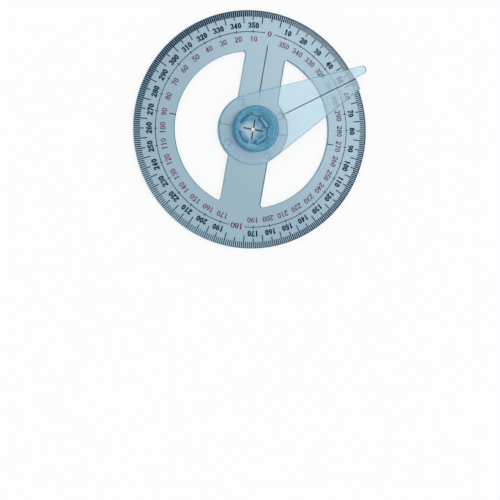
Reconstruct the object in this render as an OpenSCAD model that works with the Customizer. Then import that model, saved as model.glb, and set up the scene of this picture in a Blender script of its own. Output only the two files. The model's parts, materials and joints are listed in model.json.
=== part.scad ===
// Full-circle protractor with one swinging pointer arm.
// The disc lies flat with its underside at z = 0 and its centre on the Z axis.
// The 0 mark points along +Y, and the black numbers would run clockwise from it.

/* [Disc] */
// Radius of the disc at its rim
disc_r = 50; // [45:0.5:70]
// Thickness of the disc
disc_t = 2; // [1.2:0.1:3]
// Width of the crossbar that carries the hub
bar_w = 17.2; // [12:0.2:24]
// Radius of the round hub in the middle of the crossbar
hub_r = 15; // [13.5:0.1:18]
// Rounding in the four corners of the windows
window_corner_r = 1; // [0.4:0.1:3]
// Radius of the pinhole at the centre
pinhole_r = 0.7; // [0.3:0.05:1.5]

/* [Snap fingers] */
// Number of fingers that stand on the hub
finger_count = 4; // [3:1:6]
// Outer radius of the fingers, on which the arm turns
finger_r = 6; // [5:0.1:6.6]
// Thickness of a finger
finger_wall = 1.4; // [0.8:0.1:1.8]
// Width of the slot between two fingers
finger_slot_w = 3.4; // [1.5:0.1:5]
// How far a barb reaches out over the ledge of the arm
barb_reach = 0.6; // [0.3:0.05:0.9]
// Height of the slope on top of a barb
barb_slope_h = 0.9; // [0.4:0.1:1.5]
// Height of the upright edge of a barb
barb_edge_h = 0.3; // [0.2:0.05:0.8]

/* [Arm] */
// Reading of the arm at rest, in degrees clockwise from the 0 mark
arm_angle = 53.5; // [0:0.5:359.5]
// Thickness of the arm's plate
arm_t = 1.5; // [1:0.1:2.5]
// Radius of the arm's round flange
flange_r = 14.8; // [13:0.1:17]
// Half of the blade's width where its clockwise half ends
blade_end_half_w = 4.8; // [4:0.1:7]
// How far the clockwise half of the blade runs past the rim
blade_overhang = 0.2; // [-2:0.1:2]
// How far the narrow tip runs past the rim
tip_overhang = 6.3; // [3:0.1:8]
// Distance from the hairline to the straight edge of the tip
tip_setback = 0.3; // [0:0.05:0.8]
// Distance from the centre to each ejector mark on the flange
ejector_mark_place_r = 12.5; // [11.5:0.1:13]
// Radius of an ejector mark
ejector_mark_r = 1.4; // [0.8:0.1:1.6]
// Depth of an ejector mark
ejector_mark_depth = 0.1; // [0.05:0.05:0.3]

/* [Knob] */
// Outer radius of the knurled cup
knob_r = 9.6; // [9:0.1:10.8]
// Thickness of the cup's wall
knob_wall = 2; // [1.2:0.1:2.2]
// Height of the cup above the arm's plate
knob_h = 5; // [3:0.1:8]
// Height of the plain band above the grooves
rim_band_h = 1; // [0.6:0.1:1.6]
// Rounding of the cup's rim
knob_rim_r = 0.5; // [0.2:0.05:0.6]
// Number of grooves round the cup
groove_count = 60; // [24:1:72]
// Radius of one groove
groove_r = 0.3; // [0.15:0.05:0.35]

/* [Print] */
// Width of the scale's bars
tick_w = 0.42; // [0.2:0.02:0.5]
// Length of a bar at a single degree
tick_len = 2.5; // [1.5:0.1:3.5]
// Length of a bar at 10, 20, 30 and so on
ten_tick_len = 4.1; // [2.5:0.1:5]
// Length of a bar at 5, 15, 25 and so on
five_tick_len = 5.4; // [2.5:0.1:6]
// Bare margin between the bars and the rim
tick_margin = 0.1; // [0:0.05:0.5]
// Width of the band that the outer row of numbers takes, between the long bars and the scale's circle
outer_row_w = 3.5; // [3:0.1:5]
// Width of the band that the inner row of numbers takes, between that circle and the ring's inner edge
inner_row_w = 8; // [6:0.1:10]
// Width of that circle and of its cross marks
scale_circle_w = 0.3; // [0.15:0.05:0.6]
// Length of a cross mark on the circle
cross_mark_len = 1.3; // [0.6:0.1:2]
// Part of the circle left bare at 0, in degrees
zero_gap_angle = 5.6; // [2:0.1:9]
// Part of the circle left bare at 180, in degrees
half_turn_gap_angle = 9.2; // [4:0.1:9.6]
// Width of the lines on the bar and the hub
line_w = 0.4; // [0.2:0.05:0.8]
// Inner end of the zero line
zero_line_inner_r = 12.5; // [11:0.1:16]
// How far the zero line runs on into the ring
zero_line_reach = 3; // [0:0.1:5]
// Inner end of the lines on the hub
hub_line_inner_r = 10; // [9.8:0.1:12]
// Length of the marks at the ring's inner edge
edge_mark_len = 2.8; // [1:0.1:4]
// Length of one arm of the centre cross
cross_len = 4.3; // [2:0.1:4.5]
// Width of the centre cross
cross_w = 0.5; // [0.3:0.05:0.8]
// Inner end of the hairline on the arm
hairline_inner_r = 14.9; // [12:0.1:20]
// Width of the hairline
hairline_w = 0.35; // [0.15:0.05:0.6]

/* [Hidden] */
$fn = 96;

// Radial play between the fingers and the arm's bore
bore_play = 0.05;
// Play between the disc and the arm, and between the arm and the barbs
lift_play = 0.1;
// Thickness of the print
ink_t = 0.03;
// How far a cutter runs past what it cuts
overrun = 0.5;
// How far a straight edge lies inside the circle that it runs into, so that the two cross cleanly
edge_tuck = 0.02;
// Clear margin round the pinhole in the centre cross
cross_margin = 0.1;

disc_colour = "#a6c0cc";
arm_colour = "#9cc4d8";
ink_colour = "#1f2a3a";

full_turn = 360;
degree_step = 1;
five_step = 5;
ten_step = 10;

arm_bottom_z = disc_t + lift_play;
arm_top_z = arm_bottom_z + arm_t;
knob_top_z = arm_top_z + knob_h;
rim_band_z = knob_top_z - rim_band_h;
barb_z = arm_top_z + lift_play;
barb_edge_z = barb_z + barb_edge_h;
barb_top_z = barb_edge_z + barb_slope_h;
finger_inner_r = finger_r - finger_wall;
knob_inner_r = knob_r - knob_wall;
bore_r = finger_r + bore_play;
tick_outer_r = disc_r - tick_margin;
// Radius of the circle between the two rows of numbers, and of the ring's inner edge
scale_circle_r = tick_outer_r - five_tick_len - outer_row_w;
ring_inner_r = scale_circle_r - inner_row_w;
zero_line_outer_r = ring_inner_r + zero_line_reach;
blade_end_r = disc_r + blade_overhang;
tip_reach = disc_r + tip_overhang;
// Angle between the hairline and each straight edge, which touches the flange
taper_angle = asin(flange_r / norm([blade_end_half_w, blade_end_r]))
    - atan(blade_end_half_w / blade_end_r);

// The round tip touches both the tapered edge and the straight edge beside the hairline
tip_r = (flange_r - tip_setback * cos(taper_angle) - tip_reach * sin(taper_angle))
    / (1 + cos(taper_angle) - sin(taper_angle));
tip_x = -tip_setback - tip_r;
tip_y = tip_reach - tip_r;
// Where a tapered edge meets the flange and the tip, both tucked in
edge_offset = flange_r - edge_tuck;
flange_touch = [edge_offset * cos(taper_angle), edge_offset * sin(taper_angle)];
tip_edge_r = tip_r - edge_tuck;
tip_touch = [tip_x - tip_edge_r * cos(taper_angle), tip_y + tip_edge_r * sin(taper_angle)];

// Centre of a window's corner rounding, and its corner before it is rounded
corner_x = bar_w / 2 + window_corner_r;
corner_y = sqrt(pow(ring_inner_r - window_corner_r, 2) - pow(corner_x, 2));
corner_tip_y = sqrt(pow(ring_inner_r, 2) - pow(bar_w / 2, 2));

// Half-width of the blade at a distance y along it
function blade_half_w(y) = (edge_offset - y * sin(taper_angle)) / cos(taper_angle);

// Turns its children clockwise by a reading of the dial
module at_reading(reading) {
    rotate([0, 0, -reading])
        children();
}

// Printed bar along +Y, from one radius to another
module printed_bar(inner_r, outer_r, w, z) {
    translate([-w / 2, inner_r, z])
        cube([w, outer_r - inner_r, ink_t]);
}

// Web that rounds one corner of a window
module corner_web() {
    reach_share = (ring_inner_r + overrun) / (ring_inner_r - window_corner_r);
    difference() {
        polygon([
            [corner_x, corner_y],
            [bar_w / 2 - overrun, corner_y],
            [bar_w / 2 - overrun, corner_tip_y + overrun],
            [corner_x * reach_share, corner_y * reach_share],
        ]);
        translate([corner_x, corner_y])
            circle(window_corner_r);
    }
}

// Outline of the disc with its two windows
module disc_outline() {
    difference() {
        circle(disc_r);
        circle(ring_inner_r);
    }
    intersection() {
        circle(ring_inner_r + overrun);
        square([bar_w, 2 * disc_r], center = true);
    }
    circle(hub_r);
    for (side = [0, 1], end = [0, 1])
        mirror([side, 0])
            mirror([0, end])
                corner_web();
}

// Ring of fingers before its slots are cut
module finger_ring() {
    rotate_extrude()
        polygon([
            [finger_inner_r, disc_t - overrun],
            [finger_r, disc_t - overrun],
            [finger_r, barb_z],
            [finger_r + barb_reach, barb_z],
            [finger_r + barb_reach, barb_edge_z],
            [finger_r, barb_top_z],
            [finger_inner_r, barb_top_z],
        ]);
}

// Slots that part the ring into fingers, one slot towards the 0 mark
module finger_slots() {
    for (i = [0:finger_count - 1])
        at_reading(i * full_turn / finger_count)
            translate([-finger_slot_w / 2, 0, disc_t])
                cube([finger_slot_w, finger_r + barb_reach + overrun, barb_top_z]);
}

// Ring, crossbar and hub in one moulding, with the snap fingers on the hub
module protractor_disc() {
    color(disc_colour)
        difference() {
            union() {
                linear_extrude(disc_t)
                    disc_outline();
                difference() {
                    finger_ring();
                    finger_slots();
                }
            }
            translate([0, 0, -overrun])
                cylinder(r = pinhole_r, h = disc_t + 2 * overrun);
        }
}

// Blade along +Y: both halves up to the end radius, and the anticlockwise half on into the tip
module blade_outline() {
    far_half_w = blade_half_w(blade_end_r);
    intersection() {
        circle(blade_end_r);
        polygon([
            [-flange_touch[0], flange_touch[1]],
            [flange_touch[0], flange_touch[1]],
            [far_half_w, blade_end_r],
            [-far_half_w, blade_end_r],
        ]);
    }
    polygon([
        [-flange_touch[0], flange_touch[1]],
        [tip_x + tip_edge_r, flange_touch[1]],
        [tip_x + tip_edge_r, tip_y],
        tip_touch,
    ]);
    translate([tip_x, tip_y])
        circle(tip_r);
}

// Outline of the grip, with grooves round its outside
module grip_outline() {
    difference() {
        circle(knob_r);
        circle(knob_inner_r);
        for (i = [0:groove_count - 1])
            rotate((i + 1 / 2) * full_turn / groove_count)
                translate([knob_r, 0])
                    circle(groove_r);
    }
}

// Plain band on top of the grip, rounded inside and outside
module knob_rim() {
    rotate_extrude() {
        translate([knob_inner_r, rim_band_z])
            square([knob_wall, rim_band_h - knob_rim_r]);
        translate([knob_inner_r + knob_rim_r, rim_band_z])
            square([knob_wall - 2 * knob_rim_r, rim_band_h]);
        for (r = [knob_inner_r + knob_rim_r, knob_r - knob_rim_r])
            translate([r, knob_top_z - knob_rim_r])
                circle(knob_rim_r);
    }
}

// Open cup that stands in the arm's plate
module knob_cup() {
    root_z = arm_bottom_z + arm_t / 2;
    translate([0, 0, root_z])
        linear_extrude(rim_band_z - root_z)
            grip_outline();
    knob_rim();
}

// Shallow marks that the mould's ejectors leave on the flange
module ejector_marks() {
    for (i = [0:3])
        rotate([0, 0, i * full_turn / 4])
            translate([0, ejector_mark_place_r, arm_top_z - ejector_mark_depth])
                cylinder(r = ejector_mark_r, h = ejector_mark_depth + overrun);
}

// Flange, blade and knurled cup in one moulding, turned to its reading
module swing_arm() {
    color(arm_colour)
        at_reading(arm_angle)
            difference() {
                union() {
                    translate([0, 0, arm_bottom_z])
                        linear_extrude(arm_t) {
                            circle(flange_r);
                            blade_outline();
                        }
                    knob_cup();
                }
                translate([0, 0, arm_bottom_z - overrun])
                    cylinder(r = bore_r, h = arm_t + 2 * overrun);
                ejector_marks();
            }
}

// Short bars at every degree that has no longer bar
module degree_ticks() {
    color(ink_colour)
        for (reading = [0:degree_step:full_turn - degree_step])
            if (reading % five_step != 0)
                at_reading(reading)
                    printed_bar(tick_outer_r - tick_len, tick_outer_r, tick_w, disc_t);
}

// Long bars half-way between the tens
module five_degree_ticks() {
    color(ink_colour)
        for (reading = [five_step:ten_step:full_turn - five_step])
            at_reading(reading)
                printed_bar(tick_outer_r - five_tick_len, tick_outer_r, tick_w, disc_t);
}

// Bars at the tens
module ten_degree_ticks() {
    color(ink_colour)
        for (reading = [0:ten_step:full_turn - ten_step])
            at_reading(reading)
                printed_bar(tick_outer_r - ten_tick_len, tick_outer_r, tick_w, disc_t);
}

// Wedge that leaves the circle bare over an angle centred on +Y
module bare_wedge(angle) {
    wedge_y = scale_circle_r + cross_mark_len;
    wedge_x = wedge_y * tan(angle / 2);
    polygon([[0, 0], [wedge_x, wedge_y], [-wedge_x, wedge_y]]);
}

// Circle between the rows of numbers, with a cross mark at every ten but 0 and 180
module scale_circle() {
    color(ink_colour)
        translate([0, 0, disc_t]) {
            linear_extrude(ink_t)
                difference() {
                    circle(scale_circle_r + scale_circle_w / 2);
                    circle(scale_circle_r - scale_circle_w / 2);
                    bare_wedge(zero_gap_angle);
                    mirror([0, 1])
                        bare_wedge(half_turn_gap_angle);
                }
            for (reading = [0:ten_step:full_turn - ten_step])
                if (reading % (full_turn / 2) != 0)
                    at_reading(reading)
                        printed_bar(scale_circle_r - cross_mark_len / 2,
                            scale_circle_r + cross_mark_len / 2, scale_circle_w, 0);
        }
}

// Line along the bar, towards the 0 mark
module zero_line() {
    color(ink_colour)
        printed_bar(zero_line_inner_r, zero_line_outer_r, line_w, disc_t);
}

// Lines towards 90 and 270, on the hub and at the ring's inner edge
module quadrant_lines() {
    color(ink_colour)
        for (reading = [full_turn / 4, full_turn * 3 / 4])
            at_reading(reading) {
                printed_bar(hub_line_inner_r, hub_r, line_w, disc_t);
                printed_bar(ring_inner_r, ring_inner_r + edge_mark_len, line_w, disc_t);
            }
}

// Cross whose middle is left clear round the pinhole
module centre_cross() {
    color(ink_colour)
        for (i = [0:3])
            at_reading(i * full_turn / 4)
                printed_bar(pinhole_r + cross_margin, cross_len, cross_w, disc_t);
}

// Reading line on top of the blade
module arm_hairline() {
    color(ink_colour)
        at_reading(arm_angle)
            printed_bar(hairline_inner_r, blade_end_r - tick_margin, hairline_w, arm_top_z);
}

protractor_disc();
swing_arm();
degree_ticks();
five_degree_ticks();
ten_degree_ticks();
scale_circle();
zero_line();
quadrant_lines();
centre_cross();
arm_hairline();
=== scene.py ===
"""Looks of a clear blue full-circle protractor with one swinging pointer arm.

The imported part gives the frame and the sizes. Every outline here is in millimetres in the part's own
frame: the disc lies flat on z = 0, its 0 mark points along +Y and its numbers run clockwise.
"""

import json
import logging
import math
from dataclasses import dataclass, field
from enum import Enum
from typing import Any, Iterable, Optional, Union

import bmesh
import bpy
from bpy.types import Material, Mesh, Node, NodeSocket, NodeTree, Object
from mathutils import Matrix, Vector
from mathutils.geometry import delaunay_2d_cdt

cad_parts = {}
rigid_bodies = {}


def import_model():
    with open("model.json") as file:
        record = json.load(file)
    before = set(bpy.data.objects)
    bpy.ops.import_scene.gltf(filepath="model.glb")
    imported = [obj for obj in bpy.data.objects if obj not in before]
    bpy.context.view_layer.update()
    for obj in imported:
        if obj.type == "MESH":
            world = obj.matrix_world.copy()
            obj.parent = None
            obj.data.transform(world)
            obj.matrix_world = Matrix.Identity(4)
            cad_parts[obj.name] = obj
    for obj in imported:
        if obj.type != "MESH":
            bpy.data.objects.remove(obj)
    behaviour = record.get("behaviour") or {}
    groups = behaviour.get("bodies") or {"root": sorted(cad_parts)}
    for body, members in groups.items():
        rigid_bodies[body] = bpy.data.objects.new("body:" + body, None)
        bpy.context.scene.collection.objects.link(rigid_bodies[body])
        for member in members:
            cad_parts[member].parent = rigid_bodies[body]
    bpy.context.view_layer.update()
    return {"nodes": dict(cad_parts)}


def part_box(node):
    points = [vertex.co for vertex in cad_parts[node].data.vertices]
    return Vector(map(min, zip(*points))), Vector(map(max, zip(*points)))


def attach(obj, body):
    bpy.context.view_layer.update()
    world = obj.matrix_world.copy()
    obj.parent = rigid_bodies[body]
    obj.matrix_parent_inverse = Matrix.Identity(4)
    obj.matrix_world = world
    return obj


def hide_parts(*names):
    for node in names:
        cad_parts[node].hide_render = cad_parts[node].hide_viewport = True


Point = tuple[float, float]
Loop = list[Point]
Place = tuple[float, float, float]
Span = tuple[float, float]
Source = Union[Node, NodeSocket]

MM = 0.001
FULL_TURN = 360.0
HALF_TURN = 180.0
QUARTER_TURN = 90.0
QUARTERS = 4
CENTRE = (0.0, 0.0)

EDGE_STEPS = 4
BOW_POINTS = 20
OVAL_POINTS = 32
PEN_CORNER_POINTS = 12
SOFT_BEND_DEG = 35.0
FLAT_ANGLE_DEG = 1.0
SHARP_ANGLE_DEG = 32.0
MERGE_MM = 0.002
DEGENERATE_MM = 0.0002
FILL_TOLERANCE_MM = 1e-7
PEN_TOLERANCE_MM = 1e-4

# Output asked of the triangulation: the triangles of the whole hull
HULL_TRIANGLES = 0

# Sockets of the colour mix node, which holds several of the same name
MIX_SHARE, MIX_FIRST, MIX_SECOND, MIX_RESULT = 0, 6, 7, 2

SRGB_BREAK, SRGB_SLOPE, SRGB_OFFSET, SRGB_GAMMA = 0.04045, 12.92, 0.055, 2.4

DISC_BODY = "disc"
ARM_BODY = "arm"

log = logging.getLogger("protractor")

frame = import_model()


# Colours and nodes


def linear(hex_colour: str) -> tuple[float, float, float, float]:
    """Turns an sRGB hex colour to linear light.

    Args:
        hex_colour: six hex digits after a hash, as a picture editor shows them.

    Returns:
        Red, green, blue and an alpha of 1.
    """
    channels = [int(hex_colour[i : i + 2], 16) / 255 for i in (1, 3, 5)]
    light = [
        c / SRGB_SLOPE if c <= SRGB_BREAK else ((c + SRGB_OFFSET) / (1 + SRGB_OFFSET)) ** SRGB_GAMMA
        for c in channels
    ]
    return (light[0], light[1], light[2], 1.0)


def add_node(
    tree: NodeTree,
    kind: str,
    values: Optional[dict[Any, Any]] = None,
    links: Optional[dict[Any, Source]] = None,
    **settings: Any,
) -> Node:
    """Adds a node with its settings and links.

    Args:
        tree: the tree that it goes into.
        kind: the node's type.
        values: input values, by socket name or number.
        links: outputs to join, or nodes for their first output, by this node's socket name or number.
        settings: the node's own properties.

    Returns:
        The new node.
    """
    node = tree.nodes.new(kind)
    for name, value in settings.items():
        setattr(node, name, value)
    for key, value in (values or {}).items():
        node.inputs[key].default_value = value
    for key, source in (links or {}).items():
        tree.links.new(source.outputs[0] if isinstance(source, Node) else source, node.inputs[key])
    return node


def new_material(name: str) -> tuple[Material, NodeTree]:
    """Starts a material.

    Args:
        name: the material's name.

    Returns:
        The material and its empty node tree.
    """
    made = bpy.data.materials.new(name)
    made.use_nodes = True
    made.node_tree.nodes.clear()
    return made, made.node_tree


def add_object(name: str, data: Any) -> Object:
    """Adds an object to the scene.

    Args:
        name: its name.
        data: its mesh or camera.

    Returns:
        The object.
    """
    made = bpy.data.objects.new(name, data)
    bpy.context.scene.collection.objects.link(made)
    return made


# Finishes


class Skin(Enum):
    """How milky a face of a moulding is, and how far its milk is the deep blue of an edge. Only the plate's
    milk is its own finish; on the other faces the milk is painted light.
    """

    CLEAR = (0.0, 0.0)
    # Painted glow of light piped out at the disc's edges
    DISC_EDGE = (0.5, 1.0)
    # Pinhole wall painted milky white, as painted light through the hole
    PINHOLE = (0.8, 0.0)
    # Hub top painted as the teal shade of the cup's wall
    HUB_FACE = (0.75, 1.0)
    # Fingers painted as the deep blue glow of light piped through them
    FINGER = (0.85, 1.0)
    PLATE = (0.17, 0.0)
    # Flange face painted lighter than the plate, against the cup's shade
    FLANGE_FACE = (0.22, 0.0)
    # Painted glow of light piped out at the arm's edges and round its marks
    PLATE_EDGE = (0.4, 1.0)
    MARK_EDGE = (0.35, 0.9)
    # The cup painted as the deep blue glow of light piped through its thick wall
    CUP = (0.42, 1.0)
    # Lands painted lighter and grooves darker, as painted light and shade of the knurl
    GRIP_LAND = (0.6, 1.0)
    GRIP_GROOVE = (0.1, 1.0)
    # Painted highlight on the upper faces of the inner rim's rounding
    RIM_CREST = (0.45, 0.9)
    # The well and the ledge painted as a lighter and a deeper blue glow
    WELL = (0.95, 0.68)
    LEDGE = (0.95, 0.9)

    def __init__(self, haze: float, depth: float) -> None:
        """Gives the two shares their names."""
        self.haze = haze
        self.depth = depth


@dataclass(frozen=True)
class Pattern:
    """Unevenness of a surface: the size of its lumps in mm, and how many finer ones lie in them."""

    lump_mm: float
    detail: float
    roughness: float = 0.5

    def values(self) -> dict[str, float]:
        """Input values of a noise texture."""
        return {"Scale": 1 / (self.lump_mm * MM), "Detail": self.detail, "Roughness": self.roughness}


@dataclass(frozen=True)
class ClearPlastic:
    """Polystyrene, tinted blue and injection moulded in polished steel.

    It is glassy and clear, the more blue the further light runs in it. Light that is piped inside the
    plate leaves at its edges, and its glow is painted there as a milky deep blue, as it is over the cup,
    the fingers and the hub. A long flow wave bends its reflections, and handling leaves fine scratches,
    which are drawn wider apart than real ones so that they show. The painted deep blue is mottled, and
    round the hub it is painted as teal shade, which leaves a painted lit spot beside the middle. A span
    holds the values of its noise where the effect is least and where it is full.
    """

    name: str
    tint: str
    density_per_m: float
    milk_colour: str
    edge_colour: str
    ior: float = 1.55
    roughness_low: float = 0.02
    roughness_high: float = 0.07
    flow_wave: Pattern = Pattern(14.0, 1.5, 0.4)
    flow_wave_height_mm: float = 0.012
    scratch: Pattern = Pattern(1.6, 3.0, 0.6)
    scratch_turn_deg: float = 37.0
    scratch_stretch: float = 0.06
    scratch_span: Span = (0.35, 0.75)
    scratch_height_mm: float = 0.0012
    # Noise that mottles the painted glow of piped light
    ripple: Pattern = Pattern(1.8, 1.0, 0.4)
    ripple_span: Span = (0.3, 0.6)
    ripple_share: float = 0.18
    # A painted lit spot beside the hub's middle, left clear in the painted teal shade
    clear_spot_mm: Place = (-1.9, -0.7, 2.0)
    clear_spot_inner_mm: float = 1.2
    clear_spot_outer_mm: float = 5.0

    def material(self) -> Material:
        """Builds the plastic's shader: clear body, haze with its painted glow, shade and lit spot, flow
        waves and scratches.

        Returns:
            The material, which reads the skins of a moulding's faces.
        """
        made, tree = new_material(self.name)
        place = add_node(tree, "ShaderNodeTexCoord").outputs["Object"]
        waves = add_node(tree, "ShaderNodeTexNoise", self.flow_wave.values(), {"Vector": place})
        streaks = add_node(
            tree,
            "ShaderNodeMapping",
            {
                "Rotation": (0.0, 0.0, math.radians(self.scratch_turn_deg)),
                "Scale": (1.0, self.scratch_stretch, 1.0),
            },
            {"Vector": place},
        )
        scratches = add_node(tree, "ShaderNodeTexNoise", self.scratch.values(), {"Vector": streaks})
        wear = add_node(
            tree,
            "ShaderNodeMapRange",
            {
                "From Min": self.scratch_span[0],
                "From Max": self.scratch_span[1],
                "To Min": self.roughness_low,
                "To Max": self.roughness_high,
            },
            {"Value": scratches},
        )
        flow = add_node(
            tree, "ShaderNodeBump", {"Distance": self.flow_wave_height_mm * MM}, {"Height": waves}
        )
        surface = add_node(
            tree,
            "ShaderNodeBump",
            {"Distance": self.scratch_height_mm * MM},
            {"Height": scratches, "Normal": flow},
        )
        haze = add_node(tree, "ShaderNodeAttribute", attribute_name="haze").outputs["Fac"]
        depth = add_node(tree, "ShaderNodeAttribute", attribute_name="depth").outputs["Fac"]
        # The painted glow of piped light is mottled by this noise
        glow_mottle_noise = add_node(tree, "ShaderNodeTexNoise", self.ripple.values(), {"Vector": place})
        piped = add_node(
            tree,
            "ShaderNodeMapRange",
            {
                "From Min": self.ripple_span[0],
                "From Max": self.ripple_span[1],
                "To Min": 1 - self.ripple_share,
                "To Max": 1.0,
            },
            {"Value": glow_mottle_noise},
        )
        # Distance from the painted lit spot
        from_lit_spot = add_node(
            tree,
            "ShaderNodeVectorMath",
            {1: Vector(self.clear_spot_mm) * MM},
            {0: place},
            operation="DISTANCE",
        )
        spot = add_node(
            tree,
            "ShaderNodeMapRange",
            {
                "From Min": self.clear_spot_inner_mm * MM,
                "From Max": self.clear_spot_outer_mm * MM,
                "To Min": 1.0,
                "To Max": 0.0,
            },
            {"Value": from_lit_spot.outputs["Value"]},
            interpolation_type="SMOOTHSTEP",
        )
        # The painted lit spot takes away milk and depth, but only from faces that have depth
        cleared = add_node(tree, "ShaderNodeMath", links={0: spot, 1: depth}, operation="MULTIPLY")
        kept = add_node(tree, "ShaderNodeMath", {0: 1.0}, {1: cleared}, operation="SUBTRACT")
        milky = add_node(tree, "ShaderNodeMath", links={0: haze, 1: kept}, operation="MULTIPLY")
        deep = add_node(tree, "ShaderNodeMath", links={0: depth, 1: kept}, operation="MULTIPLY")
        blue = add_node(tree, "ShaderNodeMath", links={0: deep, 1: piped}, operation="MULTIPLY")
        clearness = add_node(tree, "ShaderNodeMath", {0: 1.0}, {1: milky}, operation="SUBTRACT")
        # The milk is mixed towards the painted glow of piped light, as far as the face's depth share
        milk = add_node(
            tree,
            "ShaderNodeMix",
            {MIX_FIRST: linear(self.milk_colour), MIX_SECOND: linear(self.edge_colour)},
            {MIX_SHARE: blue},
            data_type="RGBA",
        )
        plastic = add_node(
            tree,
            "ShaderNodeBsdfPrincipled",
            {"IOR": self.ior},
            {
                "Base Color": milk.outputs[MIX_RESULT],
                "Roughness": wear,
                "Transmission Weight": clearness,
                "Normal": surface,
            },
        )
        body = add_node(
            tree, "ShaderNodeVolumeAbsorption", {"Color": linear(self.tint), "Density": self.density_per_m}
        )
        add_node(tree, "ShaderNodeOutputMaterial", links={"Surface": plastic, "Volume": body})
        return made


@dataclass(frozen=True)
class PadInk:
    """Screen-printed ink on plastic: a thin matt film whose cover varies with the pull of the squeegee.

    Its grain is drawn coarser than that of real ink, which is too fine to show. The mottle's span holds
    the values of its noise where the ink is full and where it is thin.
    """

    name: str
    colour: str
    thin_colour: str
    ior: float = 1.5
    specular: float = 0.1
    roughness: float = 0.55
    mottle: Pattern = Pattern(1.1, 3.0)
    mottle_span: Span = (0.35, 0.7)
    grain: Pattern = Pattern(0.12, 1.0)
    grain_height_mm: float = 0.004

    def material(self) -> Material:
        """Builds the ink's shader: mottled colour and a fine grain.

        Returns:
            The material.
        """
        made, tree = new_material(self.name)
        place = add_node(tree, "ShaderNodeTexCoord").outputs["Object"]
        mottle = add_node(tree, "ShaderNodeTexNoise", self.mottle.values(), {"Vector": place})
        grain = add_node(tree, "ShaderNodeTexNoise", self.grain.values(), {"Vector": place})
        cover = add_node(
            tree,
            "ShaderNodeMapRange",
            {"From Min": self.mottle_span[0], "From Max": self.mottle_span[1]},
            {"Value": mottle},
        )
        colour = add_node(
            tree,
            "ShaderNodeMix",
            {MIX_FIRST: linear(self.colour), MIX_SECOND: linear(self.thin_colour)},
            {MIX_SHARE: cover},
            data_type="RGBA",
        )
        bump = add_node(tree, "ShaderNodeBump", {"Distance": self.grain_height_mm * MM}, {"Height": grain})
        ink = add_node(
            tree,
            "ShaderNodeBsdfPrincipled",
            {"Roughness": self.roughness, "IOR": self.ior, "Specular IOR Level": self.specular},
            {"Base Color": colour.outputs[MIX_RESULT], "Normal": bump},
        )
        add_node(tree, "ShaderNodeOutputMaterial", links={"Surface": ink})
        return made


class PrintColour(Enum):
    """The two inks of the scale."""

    BLACK = PadInk(name="black_screen_ink", colour="#002440", thin_colour="#083250")
    RED = PadInk(name="crimson_screen_ink", colour="#5E2656", thin_colour="#6E3A68")


# Outlines and closed shells


def arc(centre: Point, radius: float, start_deg: float, end_deg: float, count: int) -> Loop:
    """Points along an arc, both ends included.

    Args:
        centre: the arc's centre.
        radius: its radius.
        start_deg: angle of the first point, anticlockwise from +X.
        end_deg: angle of the last point, smaller than start_deg for a clockwise arc.
        count: number of points.

    Returns:
        The points in order.
    """
    angles = [math.radians(start_deg + (end_deg - start_deg) * i / (count - 1)) for i in range(count)]
    return [(centre[0] + radius * math.cos(a), centre[1] + radius * math.sin(a)) for a in angles]


def circle(radius: float, count: int, centre: Point = CENTRE) -> Loop:
    """A closed anticlockwise circle of a number of points."""
    return arc(centre, radius, 0.0, FULL_TURN * (count - 1) / count, count)


def turned(loop: Loop, degrees: float) -> Loop:
    """The outline turned anticlockwise about the origin."""
    c, s = math.cos(math.radians(degrees)), math.sin(math.radians(degrees))
    return [(x * c - y * s, x * s + y * c) for x, y in loop]


def inset(loop: Loop, distance: float) -> Loop:
    """Moves a closed outline to its left, into the material that it bounds.

    Args:
        loop: anticlockwise round material, or clockwise round a hole.
        distance: how far each side moves.

    Returns:
        The moved outline, with mitred corners.
    """
    moved = []
    for i, point in enumerate(loop):
        here = Vector(point)
        before = (here - Vector(loop[i - 1])).normalized()
        after = (Vector(loop[(i + 1) % len(loop)]) - here).normalized()
        left_before = Vector((-before.y, before.x))
        left_after = Vector((-after.y, after.x))
        mitre = (left_before + left_after) / (1 + left_before.dot(left_after))
        moved.append(tuple(here + mitre * distance))
    return moved


def filled(outline: Loop, holes: Iterable[Loop]) -> tuple[list[Point], list[tuple[int, ...]]]:
    """Triangles between an outline and its holes.

    Args:
        outline: anticlockwise.
        holes: in either direction.

    Returns:
        The points and the triangles.
    """
    loops = [outline, *holes]
    coords = [Vector(p) for loop in loops for p in loop]
    faces, start = [], 0
    for loop in loops:
        face = list(range(start, start + len(loop)))
        area = sum(a[0] * b[1] - b[0] * a[1] for a, b in zip(loop, loop[1:] + loop[:1]))
        faces.append(face if area > 0 else face[::-1])
        start += len(loop)
    points, _, triangles, _, _, owners = delaunay_2d_cdt(
        coords, [], faces, HULL_TRIANGLES, FILL_TOLERANCE_MM, True
    )
    kept = [tuple(t) for t, owner in zip(triangles, owners) if list(owner) == [0]]
    return [(p.x, p.y) for p in points], kept


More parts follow.
